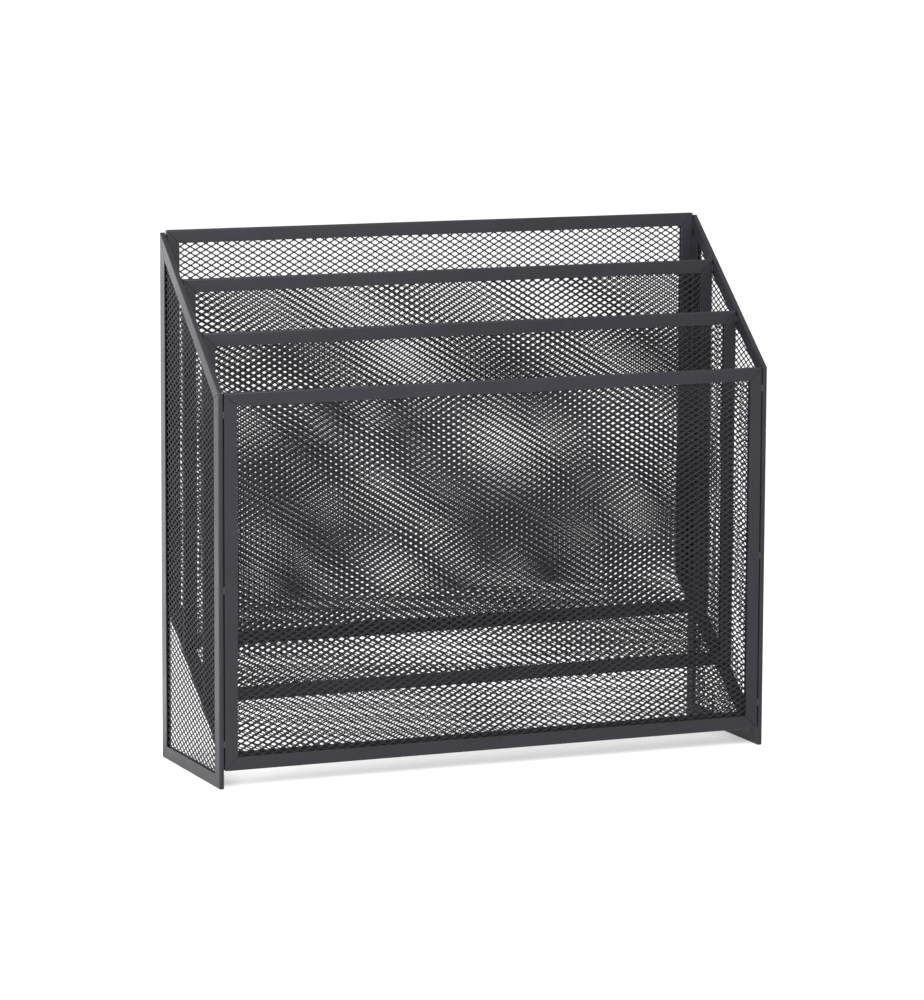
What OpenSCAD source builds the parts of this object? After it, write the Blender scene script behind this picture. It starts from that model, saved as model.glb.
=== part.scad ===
// Desk organizer: an upright file holder with three pockets, one behind the other.
// Every wall is a flat frame: a sheet of expanded metal with folded steel strip round
// its edges. The frames are tack-welded together. The floor and the back are one
// frame, bent along the line where the sloping floor turns up.
//
// +X is to the right, the front faces -Y and +Z is up. The origin is on the desk,
// under the middle of the holder.

/* [Overall] */
// Width over both side frames
overall_width = 330; // [200:1:450]
// Height of the back
rear_height = 298; // [240:1:420]
// Height of the front frame and of the side frames at the front
front_height = 218; // [120:1:280]

/* [Pockets] */
// Clear depth of the front pocket
front_pocket = 31.2; // [15:0.1:60]
// Clear depth of the middle pocket
middle_pocket = 28.7; // [15:0.1:60]
// Clear depth of the rear pocket
rear_pocket = 23.9; // [15:0.1:60]

/* [Floor] */
// Height of the front frame's lower edge above the desk
front_clearance = 10; // [0:0.5:12]
// Height of the floor's upper face where it meets the front frame
floor_front_height = 14.5; // [12:0.5:30]
// Height of the floor's upper face where it bends up into the back
floor_rear_height = 86.5; // [50:0.5:120]

/* [Edge strip] */
// Width of the strip on a frame's face
strip_width = 7.5; // [5:0.1:12]
// Thickness of the strip's steel
strip_gauge = 0.7; // [0.4:0.05:1]
// Outside radius of the strip's two long bends
bend_radius = 0.9; // [0.5:0.05:1.2]
// Radius of a frame's corners, seen on its face
corner_radius = 1.2; // [0.5:0.1:1.5]
// Opening of the notch along each mitre line
mitre_gap = 0.3; // [0.1:0.05:0.5]
// Opening between two strip ends at a butt seam
seam_gap = 0.2; // [0.1:0.05:0.5]
// Height of the seam in a side frame's rear strip
rear_seam_height = 180; // [40:1:220]
// Distance of the seam in the front frame's lower strip from the middle
front_seam_offset = 1.5; // [-60:0.5:60]

/* [Mesh] */
// Thickness of the expanded-metal sheet
mesh_thickness = 1.3; // [1:0.05:2]
// Clearance between the sheet and each flange of the strip
mesh_fit = 0.05; // [0.02:0.01:0.2]
// Clearance between the sheet's edge and the strip's web
mesh_edge_gap = 0.5; // [0.2:0.1:1]

/* [Welds] */
// Gap between a side frame and the frames that stand between the sides
side_gap = 0.4; // [0.1:0.1:1]
// Length of a tack weld
weld_length = 4; // [2:0.5:6]
// How far a tack weld stays below the faces that it joins
weld_inset = 0.12; // [0.05:0.01:0.3]
// Height of the lowest weld of a corner above the lower end of the front or the back
low_weld_rise = 15; // [8:0.5:40]
// Depth of the highest weld of a corner below the top of the front or the back
top_weld_drop = 12; // [8:0.5:30]
// Place of a corner's middle weld, from 0 at the lowest weld to 1 at the highest
middle_weld_share = 0.47; // [0.3:0.01:0.7]
// Distance of each floor weld from the middle
floor_weld_offset = 87; // [20:1:90]
// Radius of a floor weld
floor_weld_radius = 0.45; // [0.3:0.05:0.5]

/* [Hidden] */
$fn = 48;

frame_t = mesh_thickness + 2 * mesh_fit + 2 * strip_gauge;
overall_depth = front_pocket + middle_pocket + rear_pocket + 4 * frame_t;

// Distances of each cross frame's front face from the front of the holder
front_divider_y = frame_t + front_pocket;
rear_divider_y = front_divider_y + frame_t + middle_pocket;
back_y = overall_depth - frame_t;

// Half the width of the frames that stand between the sides
cross_half = overall_width / 2 - frame_t - side_gap;

// Slope of the side frames' upper edge and of the floor
side_rise = (rear_height - front_height) / overall_depth;
floor_rise = (floor_rear_height - floor_front_height) / (back_y - frame_t);
floor_angle = atan(floor_rise);

// How far the floor's front corner passes the plane that its rounded edge touches
floor_tuck = bend_radius * (cos(floor_angle) + sin(floor_angle) - 1);

// Longer than any frame, for cutting
reach = overall_width + rear_height;
// How far the back and the floor are drawn past the bend, before the bend cuts them
overrun = 4 * strip_width;

// The sides of an outline, counted from its lower left corner. A side frame's RIGHT
// side is its rear and its LEFT side is its front.
BOTTOM = 0;
RIGHT = 1;
TOP = 2;
LEFT = 3;

// Heights at a distance y from the front of the holder
function slope_z(y) = front_height + side_rise * y;
function floor_z(y) = floor_front_height + floor_rise * (y - frame_t);
// Lower edge of a divider whose rounded rear edge rests on the floor
function divider_bottom(y) =
    floor_z(y + frame_t - bend_radius) + bend_radius / cos(floor_angle) - bend_radius;

// Heights of the three tack welds at a corner, on a frame from bottom to top
function weld_heights(bottom, top) =
    let (lowest = bottom + low_weld_rise, highest = top - top_weld_drop)
        [for (share = [0, middle_weld_share, 1]) lowest + share * (highest - lowest)];

// Outlines, counter-clockwise from the lower left corner
function upright(bottom, top) =
    [[-cross_half, bottom], [cross_half, bottom], [cross_half, top], [-cross_half, top]];
front_outline = upright(front_clearance, front_height);
front_divider_outline = upright(divider_bottom(front_divider_y), slope_z(front_divider_y));
rear_divider_outline = upright(divider_bottom(rear_divider_y), slope_z(rear_divider_y));
back_outline = upright(floor_rear_height - overrun, rear_height);
floor_outline = upright(0, (back_y - frame_t + floor_tuck) / cos(floor_angle) + overrun);
side_outline =
    [[0, 0], [overall_depth, 0], [overall_depth, rear_height], [0, front_height]];

// ---- Outline geometry ----

function unit(v) = v / norm(v);
function after(pts, i) = pts[(i + 1) % len(pts)];
function before(pts, i) = pts[(i + len(pts) - 1) % len(pts)];
// Direction of the mitre line at corner i, and half the angle of that corner
function mitre(pts, i) =
    unit(unit(after(pts, i) - pts[i]) + unit(before(pts, i) - pts[i]));
function half_angle(pts, i) = acos(mitre(pts, i) * unit(after(pts, i) - pts[i]));
// The point on the mitre line of corner i that lies a depth inside both its sides
function inside(pts, i, depth) = pts[i] + mitre(pts, i) * depth / sin(half_angle(pts, i));

// One mitred side of a frame. The flanges are notched along the mitre lines, and the
// web runs on to the corners.
function side_face(pts, i) =
    let (
        j = (i + 1) % len(pts),
        along = unit(pts[j] - pts[i]) * mitre_gap / 2,
        notch_i = along / sin(half_angle(pts, i)),
        notch_j = along / sin(half_angle(pts, j))
    )
    [
        pts[i],
        inside(pts, i, strip_gauge),
        inside(pts, i, strip_gauge) + notch_i,
        inside(pts, i, strip_width) + notch_i,
        inside(pts, j, strip_width) - notch_j,
        inside(pts, j, strip_gauge) - notch_j,
        inside(pts, j, strip_gauge),
        pts[j]
    ];

// ---- Frame pieces, lying flat: the outline in XY and the thickness along +Z ----

// The folded strip's section: x runs inwards from the frame's edge, y through the frame
module strip_section() {
    difference() {
        union() {
            translate([bend_radius, 0]) square([strip_width - bend_radius, frame_t]);
            translate([0, bend_radius]) square([bend_radius, frame_t - 2 * bend_radius]);
            for (y = [bend_radius, frame_t - bend_radius])
                translate([bend_radius, y]) circle(bend_radius);
        }
        translate([strip_gauge, strip_gauge])
            square([strip_width, frame_t - 2 * strip_gauge]);
    }
}

// What rounding takes off corner i
module corner_waste(pts, i) {
    centre = inside(pts, i, corner_radius);
    touch = corner_radius / tan(half_angle(pts, i));
    difference() {
        polygon([
            pts[i],
            pts[i] + unit(after(pts, i) - pts[i]) * touch,
            centre,
            pts[i] + unit(before(pts, i) - pts[i]) * touch
        ]);
        translate(centre) circle(corner_radius);
    }
}

// The strip along side i. from and to give the stretch that is made, along that side
module rail(pts, i, from = 0, to = reach) {
    start = pts[i];
    end = after(pts, i);
    stop = min(to, norm(end - start));
    intersection() {
        translate(start)
            rotate(atan2(end.y - start.y, end.x - start.x))
                translate([from, 0])
                    rotate([90, 0, 90])
                        linear_extrude(stop - from) strip_section();
        translate([0, 0, -1])
            linear_extrude(frame_t + 2)
                difference() {
                    polygon(side_face(pts, i));
                    corner_waste(pts, i);
                    corner_waste(pts, (i + 1) % len(pts));
                }
    }
}

// The sheet of expanded metal, seated in the strip all round
module sheet(pts) {
    depth = strip_gauge + mesh_edge_gap;
    translate([0, 0, strip_gauge + mesh_fit])
        linear_extrude(mesh_thickness)
            polygon([for (i = [0 : len(pts) - 1]) inside(pts, i, depth)]);
}

// ---- Places of the frames ----

// A frame that stands across the holder, its front face a distance y from the front
module across(y) {
    translate([0, y + frame_t - overall_depth / 2, 0]) rotate([90, 0, 0]) children();
}

// The left side frame
module left_side() {
    translate([-overall_width / 2, -overall_depth / 2, 0]) rotate([90, 0, 90]) children();
}

// The right side frame, the left one's mirror image
module right_side() {
    mirror([1, 0, 0]) left_side() children();
}

// The floor, from its front edge up to the bend
module on_floor() {
    front_y = frame_t - floor_tuck;
    translate([0, front_y - overall_depth / 2, floor_z(front_y)])
        rotate([floor_angle, 0, 0])
            translate([0, 0, -frame_t]) children();
}

// Everything above or below the plane that halves the bend between floor and back
module bend_half(above) {
    half_bend = (90 + floor_angle) / 2;
    translate([-reach, back_y - overall_depth / 2, floor_rear_height])
        rotate([half_bend - 90, 0, 0])
            translate([0, -reach, above ? 0 : -reach]) cube([2 * reach, 2 * reach, reach]);
}

// ---- Welds ----

// A tack weld that fills the groove between a cross frame's rounded edge, on its front
// face, and the side frame to its left. At a corner the side frame is rounded too.
module tack(at_corner) {
    centre_x = side_gap + bend_radius;
    linear_extrude(weld_length, center = true)
        difference() {
            translate([at_corner ? -bend_radius : 0, weld_inset])
                square([centre_x + (at_corner ? bend_radius : 0), bend_radius - weld_inset]);
            translate([centre_x, bend_radius]) circle(bend_radius);
            if (at_corner) translate([-bend_radius, bend_radius]) circle(bend_radius);
        }
}

// Tack welds on the left of the holder and their mirror images on the right
module tack_pair(y, z, at_corner) {
    for (side = [0, 1])
        mirror([side, 0, 0])
            translate([frame_t - overall_width / 2, y - overall_depth / 2, z])
                tack(at_corner);
}

// ---- Side frames ----

rail_black = [0.2, 0.2, 0.21];
mesh_black = [0.14, 0.14, 0.15];
weld_black = [0.26, 0.26, 0.27];

module left_side_bottom_rail() color(rail_black) left_side() rail(side_outline, BOTTOM);
module left_side_rear_rail_lower()
    color(rail_black) left_side()
        rail(side_outline, RIGHT, to = rear_seam_height - seam_gap / 2);
module left_side_rear_rail_upper()
    color(rail_black) left_side()
        rail(side_outline, RIGHT, from = rear_seam_height + seam_gap / 2);
module left_side_slope_rail() color(rail_black) left_side() rail(side_outline, TOP);
module left_side_front_rail() color(rail_black) left_side() rail(side_outline, LEFT);
module left_side_mesh() color(mesh_black) left_side() sheet(side_outline);

module right_side_bottom_rail() color(rail_black) right_side() rail(side_outline, BOTTOM);
module right_side_rear_rail_lower()
    color(rail_black) right_side()
        rail(side_outline, RIGHT, to = rear_seam_height - seam_gap / 2);
module right_side_rear_rail_upper()
    color(rail_black) right_side()
        rail(side_outline, RIGHT, from = rear_seam_height + seam_gap / 2);
module right_side_slope_rail() color(rail_black) right_side() rail(side_outline, TOP);
module right_side_front_rail() color(rail_black) right_side() rail(side_outline, LEFT);
module right_side_mesh() color(mesh_black) right_side() sheet(side_outline);

// ---- Front frame ----

front_seam = cross_half + front_seam_offset;

module front_bottom_rail_left()
    color(rail_black) across(0) rail(front_outline, BOTTOM, to = front_seam - seam_gap / 2);
module front_bottom_rail_right()
    color(rail_black) across(0) rail(front_outline, BOTTOM, from = front_seam + seam_gap / 2);
module front_right_stile() color(rail_black) across(0) rail(front_outline, RIGHT);
module front_top_rail() color(rail_black) across(0) rail(front_outline, TOP);
module front_left_stile() color(rail_black) across(0) rail(front_outline, LEFT);
module front_mesh() color(mesh_black) across(0) sheet(front_outline);

// ---- Dividers ----

module divider_rail(y, outline, i) color(rail_black) across(y) rail(outline, i);

module front_divider_bottom_rail()
    divider_rail(front_divider_y, front_divider_outline, BOTTOM);
module front_divider_right_stile()
    divider_rail(front_divider_y, front_divider_outline, RIGHT);
module front_divider_top_rail()
    divider_rail(front_divider_y, front_divider_outline, TOP);
module front_divider_left_stile()
    divider_rail(front_divider_y, front_divider_outline, LEFT);
module front_divider_mesh()
    color(mesh_black) across(front_divider_y) sheet(front_divider_outline);

module rear_divider_bottom_rail()
    divider_rail(rear_divider_y, rear_divider_outline, BOTTOM);
module rear_divider_right_stile()
    divider_rail(rear_divider_y, rear_divider_outline, RIGHT);
module rear_divider_top_rail()
    divider_rail(rear_divider_y, rear_divider_outline, TOP);
module rear_divider_left_stile()
    divider_rail(rear_divider_y, rear_divider_outline, LEFT);
module rear_divider_mesh()
    color(mesh_black) across(rear_divider_y) sheet(rear_divider_outline);

// ---- Back and floor ----

module back_piece() intersection() { across(back_y) children(); bend_half(true); }
module floor_piece() intersection() { on_floor() children(); bend_half(false); }

module back_right_stile() color(rail_black) back_piece() rail(back_outline, RIGHT);
module back_top_rail() color(rail_black) back_piece() rail(back_outline, TOP);
module back_left_stile() color(rail_black) back_piece() rail(back_outline, LEFT);
module back_mesh() color(mesh_black) back_piece() sheet(back_outline);

module floor_front_rail() color(rail_black) floor_piece() rail(floor_outline, BOTTOM);
module floor_right_rail() color(rail_black) floor_piece() rail(floor_outline, RIGHT);
module floor_left_rail() color(rail_black) floor_piece() rail(floor_outline, LEFT);
module floor_mesh() color(mesh_black) floor_piece() sheet(floor_outline);

// ---- Tack welds ----

module front_welds()
    color(weld_black)
        for (z = weld_heights(front_clearance, front_height)) tack_pair(0, z, true);

// Each divider is tacked to the slope rails, in the middle of their width
module divider_welds() {
    drop = strip_width / cos(atan(side_rise)) / 2;
    color(weld_black)
        for (y = [front_divider_y, rear_divider_y]) tack_pair(y, slope_z(y) - drop, false);
}

module back_welds()
    color(weld_black)
        mirror([0, 1, 0])
            for (z = weld_heights(floor_rear_height, rear_height)) tack_pair(0, z, true);

// Beads in the wedge between the front frame's back and the floor's front edge
module floor_welds() {
    apex_z = floor_z(frame_t - floor_tuck) - floor_tuck / tan(floor_angle);
    drop = floor_weld_radius / tan(floor_angle / 2);
    color(weld_black)
        for (x = [-floor_weld_offset, floor_weld_offset])
            translate([
                x,
                frame_t + floor_weld_radius - overall_depth / 2,
                apex_z - drop
            ])
                rotate([0, 90, 0]) cylinder(weld_length, r = floor_weld_radius, center = true);
}

left_side_bottom_rail();
left_side_rear_rail_lower();
left_side_rear_rail_upper();
left_side_slope_rail();
left_side_front_rail();
left_side_mesh();
right_side_bottom_rail();
right_side_rear_rail_lower();
right_side_rear_rail_upper();
right_side_slope_rail();
right_side_front_rail();
right_side_mesh();
front_bottom_rail_left();
front_bottom_rail_right();
front_right_stile();
front_top_rail();
front_left_stile();
front_mesh();
front_divider_bottom_rail();
front_divider_right_stile();
front_divider_top_rail();
front_divider_left_stile();
front_divider_mesh();
rear_divider_bottom_rail();
rear_divider_right_stile();
rear_divider_top_rail();
rear_divider_left_stile();
rear_divider_mesh();
back_right_stile();
back_top_rail();
back_left_stile();
back_mesh();
floor_front_rail();
floor_right_rail();
floor_left_rail();
floor_mesh();
front_welds();
divider_welds();
back_welds();
floor_welds();
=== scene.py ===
"""Looks of a three-pocket desk organizer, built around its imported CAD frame.

The folded strips of every frame stay as the CAD made them and get a powder-coat finish.
The plain CAD sheets are replaced by real expanded metal, strand by strand, and the plain
tack welds by rippled beads. All sizes are in metres.
"""

import math

import bmesh
import bpy
import numpy as np
from bpy.props import FloatProperty, FloatVectorProperty, IntProperty, PointerProperty
from mathutils import Euler, Matrix, Vector, geometry


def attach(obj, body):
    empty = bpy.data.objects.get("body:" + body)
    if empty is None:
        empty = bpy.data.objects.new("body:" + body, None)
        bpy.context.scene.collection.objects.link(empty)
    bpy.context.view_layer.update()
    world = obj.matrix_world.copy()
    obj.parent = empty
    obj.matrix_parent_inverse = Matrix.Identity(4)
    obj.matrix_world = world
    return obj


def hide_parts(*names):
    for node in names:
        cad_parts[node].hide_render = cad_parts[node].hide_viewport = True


bl_info = {
    "name": "Mesh desk organizer",
    "version": (1, 0, 0),
    "blender": (4, 5, 0),
    "location": "3D View > Sidebar > Organizer",
    "description": "Expanded-metal sheets, weld beads, finishes and stage of a desk organizer",
    "category": "Object",
}

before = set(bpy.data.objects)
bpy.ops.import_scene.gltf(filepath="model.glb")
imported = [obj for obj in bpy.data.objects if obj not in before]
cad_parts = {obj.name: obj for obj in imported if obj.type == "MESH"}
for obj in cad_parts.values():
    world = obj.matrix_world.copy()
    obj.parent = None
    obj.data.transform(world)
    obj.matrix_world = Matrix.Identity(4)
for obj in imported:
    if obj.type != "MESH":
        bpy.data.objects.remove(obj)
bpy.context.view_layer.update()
BODY = "root"
MM = 0.001


# ---------------------------------------------------------------- shader expressions


class Wire:
    """A node's output socket that can be used in a Python expression."""

    def __init__(self, finish, socket):
        self.finish = finish
        self.socket = socket

    def __add__(self, other):
        return self.finish.math("ADD", self, other)

    def __sub__(self, other):
        return self.finish.math("SUBTRACT", self, other)

    def __rsub__(self, other):
        return self.finish.math("SUBTRACT", other, self)

    def __mul__(self, other):
        return self.finish.math("MULTIPLY", self, other)

    __radd__ = __add__
    __rmul__ = __mul__


class Finish:
    """A node material under construction."""

    # Places of a Mix node's sockets for colours among all its sockets
    MIX_FACTOR, MIX_A, MIX_B = 0, 6, 7
    MIX_RESULT = 2

    def __init__(self, name):
        self.material = bpy.data.materials.new(name)
        self.material.use_nodes = True
        self.tree = self.material.node_tree
        self.tree.nodes.clear()

    def node(self, kind, settings=None, inputs=None, output=0):
        """Adds a node, sets it up, feeds its sockets and returns one of its outputs."""
        made = self.tree.nodes.new("ShaderNode" + kind)
        for key, value in (settings or {}).items():
            if key == "stops":
                self.set_stops(made.color_ramp, value)
            else:
                setattr(made, key, value)
        for key, value in (inputs or {}).items():
            if isinstance(value, Wire):
                self.tree.links.new(value.socket, made.inputs[key])
            else:
                made.inputs[key].default_value = value
        if not made.outputs:
            return None
        return Wire(self, made.outputs[output])

    @staticmethod
    def set_stops(ramp, stops):
        """Gives a colour ramp its stops, each a position and a grey level."""
        for element, (place, grey) in zip(ramp.elements, stops):
            element.position = place
            element.color = (grey, grey, grey, 1)

    def math(self, operation, a, b):
        return self.node("Math", {"operation": operation}, {0: a, 1: b})

    def mix_colour(self, factor, a, b):
        """Colour a where factor is 0 and colour b where it is 1."""
        ends = [end if isinstance(end, Wire) else (*end, 1) for end in (a, b)]
        inputs = {self.MIX_FACTOR: factor, self.MIX_A: ends[0], self.MIX_B: ends[1]}
        return self.node("Mix", {"data_type": "RGBA"}, inputs, output=self.MIX_RESULT)

    def surface(self, **inputs):
        """Ends the material in a Principled surface."""
        shader = self.node(
            "BsdfPrincipled", None, {k.replace("_", " "): v for k, v in inputs.items()}
        )
        self.node("OutputMaterial", None, {"Surface": shader})
        return self.material


def scaled(colour, share):
    """A darker or a lighter shade of a colour."""
    return tuple(c * share for c in colour)


# How many of each mark of the powder coat there are along a metre
STRIP_PATCHES = 38.0
STRIP_SPECKS = 900.0
SHEET_PATCHES = 45.0
SHEET_GRAINS = 2600.0
BEAD_PITS = 1500.0

# Depths of the coat's relief
PEEL_DEPTH = 0.05 * MM
GRAIN_DEPTH = 0.04 * MM
PIT_DEPTH = 0.1 * MM


def strip_finish(settings):
    """Satin powder coat on folded strip: fine orange peel, dusty patches, rubbed bends."""
    coat = Finish("strip_powder_coat")
    place = coat.node("TexCoord", output="Object")
    peel = coat.node(
        "TexNoise",
        None,
        {"Vector": place, "Scale": 1 / settings.grain_size, "Detail": 3.0, "Roughness": 0.6},
    )
    patches = coat.node(
        "TexNoise",
        None,
        {"Vector": place, "Scale": STRIP_PATCHES, "Detail": 4.0, "Roughness": 0.55},
    )
    cloud = coat.node("ValToRGB", {"stops": [(0.35, 0.0), (0.7, 1.0)]}, {"Fac": patches})
    speck = coat.node("TexNoise", None, {"Vector": place, "Scale": STRIP_SPECKS, "Detail": 1.0})
    pinpricks = coat.node("ValToRGB", {"stops": [(0.66, 0.0), (0.74, 1.0)]}, {"Fac": speck})
    # The bends stand out where the rounded normal leaves the face's own
    softened = coat.node("Bevel", {"samples": 4}, {"Radius": settings.edge_width})
    own = coat.node("NewGeometry", output="Normal")
    agreement = coat.node(
        "VectorMath", {"operation": "DOT_PRODUCT"}, {0: softened, 1: own}, output="Value"
    )
    rubbed = coat.node(
        "ValToRGB", {"stops": [(0.02, 0.0), (0.2, 1.0)]}, {"Fac": (1 - agreement) * cloud}
    )
    base = tuple(settings.colour)
    tinted = coat.mix_colour(cloud * 0.5, scaled(base, 0.88), scaled(base, 1.18))
    flecked = coat.mix_colour(pinpricks * 0.35, tinted, scaled(base, 2.2))
    worn = coat.mix_colour(rubbed * settings.wear, flecked, scaled(base, 3.4))
    relief = coat.node(
        "Bump",
        None,
        {"Strength": settings.grain_relief, "Distance": PEEL_DEPTH, "Height": peel},
    )
    return coat.surface(
        Base_Color=worn,
        Roughness=settings.roughness + (cloud - 0.5) * 0.07 - rubbed * 0.06,
        Normal=relief,
        Specular_IOR_Level=settings.gloss,
    )


def sheet_finish(settings):
    """Thinner, slightly darker coat on the strands of the expanded metal."""
    coat = Finish("mesh_powder_coat")
    place = coat.node("TexCoord", output="Object")
    grain = coat.node(
        "TexNoise", None, {"Vector": place, "Scale": SHEET_GRAINS, "Detail": 2.0, "Roughness": 0.6}
    )
    patches = coat.node(
        "TexNoise", None, {"Vector": place, "Scale": SHEET_PATCHES, "Detail": 3.0}
    )
    cloud = coat.node("ValToRGB", {"stops": [(0.35, 0.0), (0.7, 1.0)]}, {"Fac": patches})
    base = tuple(settings.colour)
    tinted = coat.mix_colour(cloud, scaled(base, 0.85), scaled(base, 1.2))
    relief = coat.node(
        "Bump", None, {"Strength": 0.25, "Distance": GRAIN_DEPTH, "Height": grain}
    )
    return coat.surface(
        Base_Color=tinted,
        Roughness=settings.roughness + (cloud - 0.5) * 0.08 + (grain - 0.5) * 0.1,
        Normal=relief,
        Specular_IOR_Level=settings.gloss,
    )


def weld_finish(settings):
    """Coat over a weld bead: thick in the hollows and thin on the ripples."""
    coat = Finish("weld_powder_coat")
    place = coat.node("TexCoord", output="Object")
    pits = coat.node(
        "TexNoise", None, {"Vector": place, "Scale": BEAD_PITS, "Detail": 4.0}
    )
    base = tuple(settings.colour)
    tinted = coat.mix_colour(pits, scaled(base, 0.8), scaled(base, 1.9))
    relief = coat.node(
        "Bump", None, {"Strength": 0.5, "Distance": PIT_DEPTH, "Height": pits}
    )
    return coat.surface(
        Base_Color=tinted,
        Roughness=settings.roughness + pits * 0.2,
        Normal=relief,
        Specular_IOR_Level=settings.gloss,
    )


# ---------------------------------------------------------------- expanded metal


class SheetPlace:
    """Where a CAD sheet lies: a middle plane with directions along, up and out of it."""

    # Shorter steps of the outline are left over from meshing and have no sure direction
    SHORTEST_SIDE = 0.1 * MM

    def __init__(self, node, facing):
        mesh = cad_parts[node].data
        broad = max(mesh.polygons, key=lambda face: face.area)
        self.out = broad.normal.normalized()
        if self.out.dot(Vector(facing)) < 0:
            self.out.negate()
        self.along = Vector((0, 0, 1)).cross(self.out).normalized()
        self.up = self.out.cross(self.along)
        points = [v.co for v in mesh.vertices]
        depths = [p.dot(self.out) for p in points]
        self.depth = (min(depths) + max(depths)) / 2
        flat = [Vector((p.dot(self.along), p.dot(self.up))) for p in points]
        self.outline = [flat[i] for i in geometry.convex_hull_2d(flat)]

    def extent(self):
        """Least and greatest u, then least and greatest v, of the sheet's outline."""
        wide, high = zip(*self.outline)
        return min(wide), max(wide), min(high), max(high)

    def owns(self, v):
        """Whether a hole at height v belongs to this piece of the sheet."""
        return np.full(len(v), True)

    def point(self, u, v, w):
        """Places in the frame of the points u along, v up and w out of the middle plane."""
        return (
            np.outer(u, self.along) + np.outer(v, self.up) + np.outer(w + self.depth, self.out)
        )

    def margin(self, u, v):
        """How far inside the sheet's outline each point lies, negative outside it."""
        middle = sum(self.outline, Vector((0, 0))) / len(self.outline)
        least = np.full(len(u), np.inf)
        for i, corner in enumerate(self.outline):
            side = self.outline[(i + 1) % len(self.outline)] - corner
            if side.length < self.SHORTEST_SIDE:
                continue
            inward = Vector((-side.y, side.x)).normalized()
            if (middle - corner).dot(inward) < 0:
                inward.negate()
            least = np.minimum(least, (u - corner.x) * inward.x + (v - corner.y) * inward.y)
        return least


class FoldedPlace:
    """The sheet of the back and the floor, measured as it was before it was bent."""

    # Each part's side edges are taken at least this far from the bend
    CLEAR_OF_BEND = 5 * MM

    def __init__(self, back, floor, keep_back):
        self.back, self.floor, self.keep_back = back, floor, keep_back
        # The bend is where the two middle planes meet
        planes = Matrix((back.out, floor.out, back.along))
        corner = planes.inverted() @ Vector((back.depth, floor.depth, 0))
        self.back_bend = corner.dot(back.up)
        self.floor_bend = corner.dot(floor.up)

    def extent(self):
        left, right, _, top = self.back.extent()
        return left, right, self.back_bend - self.floor_bend + self.floor.extent()[2], top

    def point(self, u, v, w):
        drop = v - self.back_bend
        above = self.back.point(u, v, w)
        below = self.floor.point(u, drop + self.floor_bend, w)
        return np.where(drop[:, None] > 0, above, below)

    def margin(self, u, v):
        drop = v - self.back_bend
        above = self.back.margin(u, np.maximum(v, self.back_bend + self.CLEAR_OF_BEND))
        below = self.floor.margin(u, np.minimum(drop, -self.CLEAR_OF_BEND) + self.floor_bend)
        return np.where(drop > 0, above, below)

    def owns(self, v):
        return (v > self.back_bend) == self.keep_back


# A hole's rim, anticlockwise from its right-hand knot: knots and strand middles by turns,
# counted in quarters of the pitch from the middle of the hole
RIM = np.array([(2, 0), (1, 1), (0, 2), (-1, 1), (-2, 0), (-1, -1), (0, -2), (1, -1)])


class Pattern:
    """How one sheet's diamonds lie: one hole's middle, the pitches, leans and bows."""

    # Bows are given at this distance from the hole
    BOW_SPAN = 100 * MM
    # Margin searched for holes, as a share of the sheet's width and height together
    ROOM_TO_LEAN = 0.05

    def __init__(self, settings, hole, stretch=(1, 1), leans=(0, 0)):
        self.hole = Vector(hole) * MM
        self.row_growth, self.row_bow, self.column_bow = (
            bow / self.BOW_SPAN**2
            for bow in (settings.row_growth, settings.row_bow, settings.column_bow)
        )
        self.long_pitch = settings.long_pitch * stretch[0]
        self.short_pitch = settings.short_pitch * stretch[1]
        self.row_rise, self.column_lean = (math.tan(math.radians(lean)) for lean in leans)

    def flat(self, points):
        """Places on the flat sheet of points given in quarters of the pitch."""
        across = points[:, 0] * self.long_pitch / 4
        rise = points[:, 1] * self.short_pitch / 4
        u = self.hole.x + across - rise * self.column_lean
        u += self.row_growth * across**2 + self.column_bow * rise**2
        v = self.hole.y + rise + across * self.row_rise + self.row_bow * across**2
        return u, v

    def holes(self, place):
        """Middles of the holes whose knots all lie in the sheet, in quarters of the pitch."""
        left, right, bottom, top = place.extent()
        # The leans and bows may bring holes in from beyond the sheet
        spare = self.ROOM_TO_LEAN * (right - left + top - bottom)
        columns = np.arange(
            math.floor((left - spare - self.hole.x) * 2 / self.long_pitch),
            math.ceil((right + spare - self.hole.x) * 2 / self.long_pitch),
        )
        rows = np.arange(
            math.floor((bottom - spare - self.hole.y) * 2 / self.short_pitch),
            math.ceil((top + spare - self.hole.y) * 2 / self.short_pitch),
        )
        i, j = (grid.ravel() for grid in np.meshgrid(columns, rows))
        even = (i + j) % 2 == 0
        middles = 2 * np.column_stack((i[even], j[even]))
        knots = middles[:, None, :] + RIM[None, ::2, :]
        inside = place.margin(*self.flat(knots.reshape(-1, 2))) > 0
        fits = inside.reshape(-1, 4).all(axis=1) & place.owns(self.flat(middles)[1])
        return middles[fits]


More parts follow.
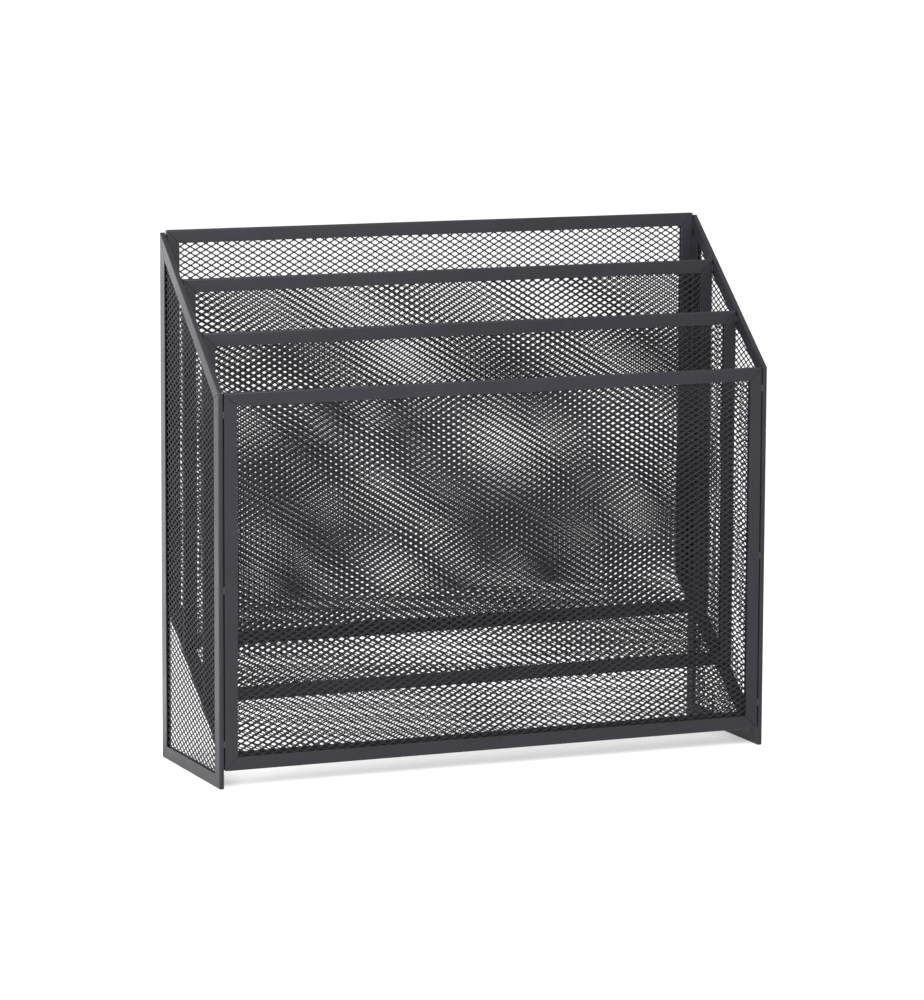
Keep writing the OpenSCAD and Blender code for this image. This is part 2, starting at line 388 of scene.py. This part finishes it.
def expanded_metal(name, place, settings, pattern, material, node):
    """Builds one sheet: every hole has a rim of strands, thickest at their knots."""
    cells = pattern.holes(place)
    total = len(cells)
    rim = (cells[:, None, :] + RIM[None, :, :]).reshape(-1, 2)
    shared, rim_index = np.unique(rim, axis=0, return_inverse=True)
    rim_index = rim_index.reshape(total, 8)
    knots = shared[:, 0] % 2 == 0
    half = settings.strand_thickness / 2
    ridge = np.where(knots, half * settings.knot_swell, half)

    # The hole's own edge, drawn in from the rim by half a strand. Its corners are rounded
    # by drawing them in further.
    long_half, short_half = settings.long_pitch / 2, settings.short_pitch / 2
    slope = math.atan2(short_half, long_half)
    draw = settings.strand_width / 2
    tip = 1 - settings.corner_fill * draw / math.sin(slope) / long_half
    crown = 1 - settings.crown_fill * draw / math.cos(slope) / short_half
    waist_u = 1 - 2 * draw * math.sin(slope) / long_half
    waist_v = 1 - 2 * draw * math.cos(slope) / short_half
    pull = np.array(
        [(tip, 1), (waist_u, waist_v), (1, crown), (waist_u, waist_v)] * 2
    )
    hole = (cells[:, None, :] + (RIM * pull)[None, :, :]).reshape(-1, 2)

    u, v = pattern.flat(shared)
    hole_u, hole_v = pattern.flat(hole)
    points = np.vstack(
        (
            place.point(u, v, ridge),
            place.point(u, v, -ridge),
            place.point(hole_u, hole_v, np.zeros(len(hole_u))),
        )
    )
    front = rim_index
    rear = rim_index + len(shared)
    edge = np.arange(total * 8).reshape(total, 8) + 2 * len(shared)

    def onward(index):
        return np.roll(index, -1, axis=1)

    front_faces = np.stack((front, onward(front), onward(edge), edge), axis=2)
    rear_faces = np.stack((rear, edge, onward(edge), onward(rear)), axis=2)
    # A rim edge that only one hole has is the sheet's cut edge, and is closed by a wall
    low = np.minimum(front, onward(front)).ravel()
    high = np.maximum(front, onward(front)).ravel()
    _, inverse, uses = np.unique(
        low * len(shared) + high, return_inverse=True, return_counts=True
    )
    cut = (uses[inverse.ravel()] == 1).reshape(total, 8)
    walls = np.stack(
        (rear[cut], onward(rear)[cut], onward(front)[cut], front[cut]), axis=1
    )
    faces = np.vstack((front_faces.reshape(-1, 4), rear_faces.reshape(-1, 4), walls))
    smooth = np.ones(len(faces), bool)
    smooth[len(faces) - len(walls):] = False

    mesh = bpy.data.meshes.new(name)
    mesh.from_pydata(points, [], faces)
    mesh.polygons.foreach_set("use_smooth", smooth)
    mesh.update()
    return add_piece(name, mesh, material, "mesh_black", node)


# ---------------------------------------------------------------- pieces


def add_piece(name, mesh, material, slot, *nodes):
    """Puts a mesh in the scene as a piece that stands for CAD nodes."""
    mesh.materials.append(material)
    piece = bpy.data.objects.new(name, mesh)
    bpy.context.scene.collection.objects.link(piece)
    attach(piece, BODY)
    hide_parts(*nodes)
    return piece


def shared_material(name, make, settings):
    """The finish of that name, made the first time that it is asked for."""
    return bpy.data.materials.get(name) or make(settings)


# Corners of a CAD mesh that are nearer than this are one corner
WELDED = 0.001 * MM


def separate_solids(node):
    """Lowest and highest corners of each solid in a CAD node that groups several."""
    work = bmesh.new()
    work.from_mesh(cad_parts[node].data)
    bmesh.ops.remove_doubles(work, verts=work.verts, dist=WELDED)
    waiting = set(work.verts)
    boxes = []
    while waiting:
        reached = [waiting.pop()]
        for vertex in reached:
            near = {edge.other_vert(vertex) for edge in vertex.link_edges} & waiting
            waiting -= near
            reached.extend(near)
        places = np.array([vertex.co for vertex in reached])
        boxes.append((places.min(axis=0), places.max(axis=0)))
    work.free()
    return sorted(boxes, key=lambda box: tuple(box[0]))


# A bead's section bulges by these shares: along the bead in waves, around it in lobes
WAVE_DEPTH = 0.07
WAVES = 34
LOBE_DEPTH = 0.05
LOBES = 3
LOBE_TWIST = 9
# How much the waves and lobes shift from one bead to the next
WAVE_SHIFT = 2.1
LOBE_SHIFT = 1.7
# Power that makes a bead's ends blunter than a ball's
BLUNTNESS = 4


def weld_bead(box, settings, number):
    """One bead, as long as its CAD tack, with the ripples that the arc left."""
    low, high = (Vector(corner) for corner in box)
    size = high - low
    work = bmesh.new()
    bmesh.ops.create_uvsphere(
        work, u_segments=settings.segments, v_segments=settings.segments, radius=0.5
    )
    lie = max(range(3), key=lambda axis: size[axis])
    turn = {0: Euler((0, math.pi / 2, 0)), 1: Euler((math.pi / 2, 0, 0)), 2: Euler((0, 0, 0))}
    for vertex in work.verts:
        place = vertex.co
        girth = math.hypot(place.x, place.y)
        blunt = math.sqrt(max(0, 1 - (2 * abs(place.z)) ** BLUNTNESS)) / 2
        if girth > 0:
            place.x, place.y = place.x / girth * blunt, place.y / girth * blunt
        around = math.atan2(place.y, place.x)
        wave = math.sin(WAVES * place.z + WAVE_SHIFT * number)
        lobe = math.sin(LOBES * around + LOBE_TWIST * place.z + LOBE_SHIFT * number)
        ripple = 1 + WAVE_DEPTH * wave + LOBE_DEPTH * lobe
        place.x *= ripple
        place.y *= ripple
    bmesh.ops.rotate(work, verts=work.verts, matrix=turn[lie].to_matrix())
    swell = [settings.swell] * 3
    swell[lie] = 1.0
    spread = Matrix.Diagonal([s * k for s, k in zip(size, swell)])
    bmesh.ops.transform(work, verts=work.verts, matrix=spread.to_4x4())
    bmesh.ops.translate(work, verts=work.verts, vec=(low + high) / 2)
    return work


def bead_piece(node, settings):
    """All the beads of one CAD weld node, as one piece."""
    mesh = bpy.data.meshes.new(node + "_beads")
    joined = bmesh.new()
    for number, box in enumerate(separate_solids(node)):
        bead = weld_bead(box, settings, number)
        part = bpy.data.meshes.new("bead")
        bead.to_mesh(part)
        bead.free()
        joined.from_mesh(part)
        bpy.data.meshes.remove(part)
    for face in joined.faces:
        face.smooth = True
    joined.to_mesh(mesh)
    joined.free()
    material = shared_material("weld_powder_coat", weld_finish, settings)
    return add_piece(node + "_beads", mesh, material, "weld_black", node)


# ---------------------------------------------------------------- settings


class StripSettings(bpy.types.PropertyGroup):
    """Finish of the folded steel strip."""

    colour: FloatVectorProperty(
        name="Colour",
        description="Colour of the powder coat",
        subtype="COLOR",
        size=3,
        min=0,
        max=1,
        default=(0.0175, 0.0165, 0.021),
    )
    roughness: FloatProperty(
        name="Roughness", description="How matt the coat is", min=0, max=1, default=0.42
    )
    gloss: FloatProperty(
        name="Gloss", description="Strength of the coat's reflections", min=0, max=1, default=0.2
    )
    grain_size: FloatProperty(
        name="Grain size",
        description="Size of the orange peel in the coat",
        unit="LENGTH",
        default=0.7 * MM,
    )
    grain_relief: FloatProperty(
        name="Grain relief", description="Strength of the orange peel", default=0.35
    )
    edge_width: FloatProperty(
        name="Edge width",
        description="Width of the rubbed zone along a bend",
        unit="LENGTH",
        default=0.5 * MM,
    )
    wear: FloatProperty(
        name="Wear", description="How far the bends are rubbed", min=0, max=1, default=0.5
    )


class SheetSettings(bpy.types.PropertyGroup):
    """Shape and finish of the expanded metal."""

    long_pitch: FloatProperty(
        name="Long pitch",
        description="Distance between knots along a row",
        unit="LENGTH",
        default=6.13 * MM,
    )
    short_pitch: FloatProperty(
        name="Short pitch",
        description="Distance between knots up a column",
        unit="LENGTH",
        default=3.6 * MM,
    )
    strand_width: FloatProperty(
        name="Strand width",
        description="Width of a strand on the sheet's face",
        unit="LENGTH",
        default=0.73 * MM,
    )
    strand_thickness: FloatProperty(
        name="Strand thickness",
        description="Thickness of a strand through the sheet",
        unit="LENGTH",
        default=0.82 * MM,
    )
    knot_swell: FloatProperty(
        name="Knot swell", description="Thickness of a knot over a strand's", default=1.25
    )
    corner_fill: FloatProperty(
        name="Corner fill",
        description="How much the holes' sharp corners are filled",
        default=1.35,
    )
    crown_fill: FloatProperty(
        name="Crown fill",
        description="How much the holes' blunt corners are filled",
        default=1.15,
    )
    row_growth: FloatProperty(
        name="Row growth",
        description="How far the knots 100 mm along a row are moved by its growing pitch",
        unit="LENGTH",
        default=-0.57 * MM,
    )
    row_bow: FloatProperty(
        name="Row bow",
        description="How far a row rises 100 mm from its middle",
        unit="LENGTH",
        default=0.16 * MM,
    )
    column_bow: FloatProperty(
        name="Column bow",
        description="How far a column moves sideways 100 mm from its middle",
        unit="LENGTH",
        default=-0.26 * MM,
    )
    colour: FloatVectorProperty(
        name="Colour",
        description="Colour of the powder coat",
        subtype="COLOR",
        size=3,
        min=0,
        max=1,
        default=(0.016, 0.0151, 0.0187),
    )
    roughness: FloatProperty(
        name="Roughness", description="How matt the coat is", min=0, max=1, default=0.4
    )
    gloss: FloatProperty(
        name="Gloss", description="Strength of the coat's reflections", min=0, max=1, default=0.2
    )


class WeldSettings(bpy.types.PropertyGroup):
    """Shape and finish of the tack welds."""

    segments: IntProperty(
        name="Segments", description="Segments round a bead", min=8, default=20
    )
    swell: FloatProperty(
        name="Swell", description="Girth of a bead over its CAD tack's", default=1.35
    )
    colour: FloatVectorProperty(
        name="Colour",
        description="Colour of the coat over the bead",
        subtype="COLOR",
        size=3,
        min=0,
        max=1,
        default=(0.02, 0.0192, 0.022),
    )
    roughness: FloatProperty(
        name="Roughness", description="How matt the coat is", min=0, max=1, default=0.4
    )
    gloss: FloatProperty(
        name="Gloss", description="Strength of the coat's reflections", min=0, max=1, default=0.2
    )


class StageSettings(bpy.types.PropertyGroup):
    """Floor, light and camera."""

    floor_colour: FloatVectorProperty(
        name="Floor colour",
        description="Colour of the floor",
        subtype="COLOR",
        size=3,
        min=0,
        max=1,
        default=(0.6, 0.595, 0.595),
    )
    floor_size: FloatProperty(
        name="Floor size", description="Side of the floor", unit="LENGTH", default=80
    )
    sky_light: FloatProperty(
        name="Room light", description="Brightness of the white room", default=1.05
    )
    floor_glow: FloatProperty(
        name="Floor glow", description="Light that the lit floor gives by itself", default=0.44
    )
    key_power: FloatProperty(
        name="Key light", description="Power of the soft light in front", default=5.5
    )
    key_place: FloatVectorProperty(
        name="Key light place",
        description="Where the soft light in front stands",
        subtype="XYZ",
        unit="LENGTH",
        size=3,
        default=(-0.04, -0.6, 0.58),
    )
    key_size: FloatProperty(
        name="Key light size",
        description="Width of the soft light in front",
        unit="LENGTH",
        default=0.3,
    )
    rim_power: FloatProperty(
        name="Rim light", description="Power of the light behind on the left", default=0.12
    )
    rim_place: FloatVectorProperty(
        name="Rim light place",
        description="Where the light behind on the left stands",
        subtype="XYZ",
        unit="LENGTH",
        size=3,
        default=(-0.198, 0.125, 0.15),
    )
    rim_size: FloatProperty(
        name="Rim light size",
        description="Width of the light behind on the left",
        unit="LENGTH",
        default=0.03,
    )
    light_height: FloatProperty(
        name="Light height",
        description="Height of every soft light",
        unit="LENGTH",
        default=0.34,
    )
    side_power: FloatProperty(
        name="Side light", description="Power of the soft light on the left", default=8
    )
    side_place: FloatVectorProperty(
        name="Side light place",
        description="Where the soft light on the left stands",
        subtype="XYZ",
        unit="LENGTH",
        size=3,
        default=(-0.8, -0.1, 0.35),
    )
    side_size: FloatProperty(
        name="Side light size",
        description="Width of the soft light on the left",
        unit="LENGTH",
        default=0.4,
    )
    camera_azimuth: FloatProperty(
        name="Camera azimuth",
        description="How far the camera stands to the left of straight in front",
        subtype="ANGLE",
        default=math.radians(22.945),
    )
    camera_pitch: FloatProperty(
        name="Camera pitch",
        description="How far the camera looks down",
        subtype="ANGLE",
        default=math.radians(8.63),
    )
    camera_roll: FloatProperty(
        name="Camera roll",
        description="How far the camera leans to its left",
        subtype="ANGLE",
        default=math.radians(0.267),
    )
    camera_distance: FloatProperty(
        name="Camera distance",
        description="Distance from the camera to the point it looks at",
        unit="LENGTH",
        default=2.5865,
    )
    camera_target: FloatVectorProperty(
        name="Camera target",
        description="Point that the camera looks at",
        subtype="XYZ",
        unit="LENGTH",
        size=3,
        default=(-0.00219, 0.00016, 0.14434),
    )
    lens: FloatProperty(
        name="Lens", description="Focal length", subtype="DISTANCE_CAMERA", default=165.2
    )


# ---------------------------------------------------------------- operators


class ORGANIZER_OT_finish_strips(bpy.types.Operator):
    """Give every folded strip its powder coat"""

    bl_idname = "organizer.finish_strips"
    bl_label = "Finish strips"

    def execute(self, context):
        material = shared_material("strip_powder_coat", strip_finish, context.scene.strips)
        coated = [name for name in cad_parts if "rail" in name or "stile" in name]
        if not coated:
            raise RuntimeError("The frame has no strips to finish")
        for name in coated:
            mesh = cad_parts[name].data
            mesh.materials.clear()
            mesh.materials.append(material)
        return {"FINISHED"}


def add_flat_sheet(context, node, facing, **lie):
    """Replaces a flat CAD sheet by expanded metal that lies as given."""
    settings = context.scene.sheets
    pattern = Pattern(settings, **lie)
    material = shared_material("mesh_powder_coat", sheet_finish, settings)
    place = SheetPlace(node, facing)
    name = node.replace("_mesh", "_expanded_metal")
    return expanded_metal(name, place, settings, pattern, material, node)


class ORGANIZER_OT_add_side_sheets(bpy.types.Operator):
    """Fill the two side frames with expanded metal"""

    bl_idname = "organizer.add_side_sheets"
    bl_label = "Add side sheets"

    def execute(self, context):
        add_flat_sheet(context, "left_side_mesh", (-1, 0, 0), hole=(1, 100))
        add_flat_sheet(context, "right_side_mesh", (1, 0, 0), hole=(2, 101))
        return {"FINISHED"}


class ORGANIZER_OT_add_front_sheet(bpy.types.Operator):
    """Fill the front frame with expanded metal"""

    bl_idname = "organizer.add_front_sheet"
    bl_label = "Add front sheet"

    def execute(self, context):
        lie = {"hole": (-2.4, 149.7), "stretch": (0.996, 0.946), "leans": (-0.22, 0.63)}
        add_flat_sheet(context, "front_mesh", (0, -1, 0), **lie)
        return {"FINISHED"}


class ORGANIZER_OT_add_divider_sheets(bpy.types.Operator):
    """Fill the two dividers with expanded metal"""

    bl_idname = "organizer.add_divider_sheets"
    bl_label = "Add divider sheets"

    def execute(self, context):
        lie = {"hole": (0.2, 150.1), "stretch": (0.997, 0.99), "leans": (-0.11, 0.24)}
        add_flat_sheet(context, "front_divider_mesh", (0, -1, 0), **lie)
        lie = {"hole": (0.2, 150), "stretch": (0.993, 0.985), "leans": (-0.14, -0.05)}
        add_flat_sheet(context, "rear_divider_mesh", (0, -1, 0), **lie)
        return {"FINISHED"}


class ORGANIZER_OT_add_bent_sheet(bpy.types.Operator):
    """Fill the back and the floor with one bent sheet, in two pieces"""

    bl_idname = "organizer.add_bent_sheet"
    bl_label = "Add back and floor sheet"

    def execute(self, context):
        settings = context.scene.sheets
        material = shared_material("mesh_powder_coat", sheet_finish, settings)
        back = SheetPlace("back_mesh", (0, -1, 0))
        floor = SheetPlace("floor_mesh", (0, 0, 1))
        lie = {"hole": (0.8, 149.7), "stretch": (0.994, 0.972), "leans": (-1.38, 0.18)}
        pattern = Pattern(settings, **lie)
        for node, keep_back in (("back_mesh", True), ("floor_mesh", False)):
            place = FoldedPlace(back, floor, keep_back)
            name = node.replace("_mesh", "_expanded_metal")
            expanded_metal(name, place, settings, pattern, material, node)
        return {"FINISHED"}


class ORGANIZER_OT_add_weld_beads(bpy.types.Operator):
    """Lay a bead over every tack weld"""

    bl_idname = "organizer.add_weld_beads"
    bl_label = "Add weld beads"

    def execute(self, context):
        for node in ("front_welds", "divider_welds", "back_welds", "floor_welds"):
            bead_piece(node, context.scene.welds)
        return {"FINISHED"}


class ORGANIZER_OT_set_stage(bpy.types.Operator):
    """Add the pale floor, the soft light and the camera"""

    bl_idname = "organizer.set_stage"
    bl_label = "Set stage"

    def execute(self, context):
        settings = context.scene.stage
        scene = context.scene
        scene.view_settings.view_transform = "Standard"
        self.add_floor(scene, settings)
        self.add_room(scene, settings)
        for kind in ("key", "rim", "side"):
            self.add_light(scene, settings, kind)
        self.add_camera(scene, settings)
        return {"FINISHED"}

    def add_floor(self, scene, settings):
        half = settings.floor_size / 2
        mesh = bpy.data.meshes.new("floor")
        corners = [(-half, -half, 0), (half, -half, 0), (half, half, 0), (-half, half, 0)]
        mesh.from_pydata(corners, [], [(0, 1, 2, 3)])
        paper = Finish("floor_paper")
        mesh.materials.append(
            paper.surface(
                Base_Color=(*settings.floor_colour, 1),
                Roughness=0.9,
                Emission_Color=(1, 1, 1, 1),
                Emission_Strength=settings.floor_glow,
            )
        )
        floor = bpy.data.objects.new("floor", mesh)
        scene.collection.objects.link(floor)

    def add_room(self, scene, settings):
        world = bpy.data.worlds.new("white_room")
        world.use_nodes = True
        background = world.node_tree.nodes["Background"]
        background.inputs["Color"].default_value = (1, 1, 1, 1)
        background.inputs["Strength"].default_value = settings.sky_light
        scene.world = world

    def add_light(self, scene, settings, kind):
        """Adds an upright soft light that faces the organizer."""
        data = bpy.data.lights.new(kind + "_light", "AREA")
        data.shape = "RECTANGLE"
        data.size = getattr(settings, kind + "_size")
        data.size_y = settings.light_height
        data.energy = getattr(settings, kind + "_power")
        light = bpy.data.objects.new(kind + "_light", data)
        light.location = getattr(settings, kind + "_place")
        light.visible_camera = False
        aim = Vector(settings.camera_target) - light.location
        light.rotation_euler = aim.to_track_quat("-Z", "Y").to_euler()
        scene.collection.objects.link(light)

    def add_camera(self, scene, settings):
        data = bpy.data.cameras.new("camera")
        data.lens = settings.lens
        data.clip_end = 200
        camera = bpy.data.objects.new("camera", data)
        yaw, pitch = settings.camera_azimuth, settings.camera_pitch
        look = Vector(
            (
                math.sin(yaw) * math.cos(pitch),
                math.cos(yaw) * math.cos(pitch),
                -math.sin(pitch),
            )
        )
        turn = look.to_track_quat("-Z", "Y").to_matrix()
        turn = turn @ Matrix.Rotation(settings.camera_roll, 3, "Z")
        camera.location = Vector(settings.camera_target) - look * settings.camera_distance
        camera.rotation_euler = turn.to_euler()
        scene.collection.objects.link(camera)
        scene.camera = camera


class ORGANIZER_PT_panel(bpy.types.Panel):
    """Everything that the organizer is made with"""

    bl_label = "Desk organizer"
    bl_idname = "ORGANIZER_PT_panel"
    bl_space_type = "VIEW_3D"
    bl_region_type = "UI"
    bl_category = "Organizer"

    def draw(self, context):
        for group in SETTINGS:
            box = self.layout.box()
            box.label(text=group.replace("_", " ").capitalize())
            values = getattr(context.scene, group)
            for name in values.__annotations__:
                box.prop(values, name)
        for operator in STEPS:
            self.layout.operator(operator.bl_idname)


SETTINGS = {
    "strips": StripSettings,
    "sheets": SheetSettings,
    "welds": WeldSettings,
    "stage": StageSettings,
}
STEPS = (
    ORGANIZER_OT_set_stage,
    ORGANIZER_OT_finish_strips,
    ORGANIZER_OT_add_side_sheets,
    ORGANIZER_OT_add_front_sheet,
    ORGANIZER_OT_add_divider_sheets,
    ORGANIZER_OT_add_bent_sheet,
    ORGANIZER_OT_add_weld_beads,
)
CLASSES = (*SETTINGS.values(), *STEPS, ORGANIZER_PT_panel)


def register():
    for cls in CLASSES:
        bpy.utils.register_class(cls)
    for group, cls in SETTINGS.items():
        setattr(bpy.types.Scene, group, PointerProperty(type=cls))


def unregister():
    for group in SETTINGS:
        delattr(bpy.types.Scene, group)
    for cls in reversed(CLASSES):
        bpy.utils.unregister_class(cls)


def main():
    register()
    for step in STEPS:
        getattr(bpy.ops.organizer, step.bl_idname.split(".")[1])()


if __name__ == "__main__":
    main()
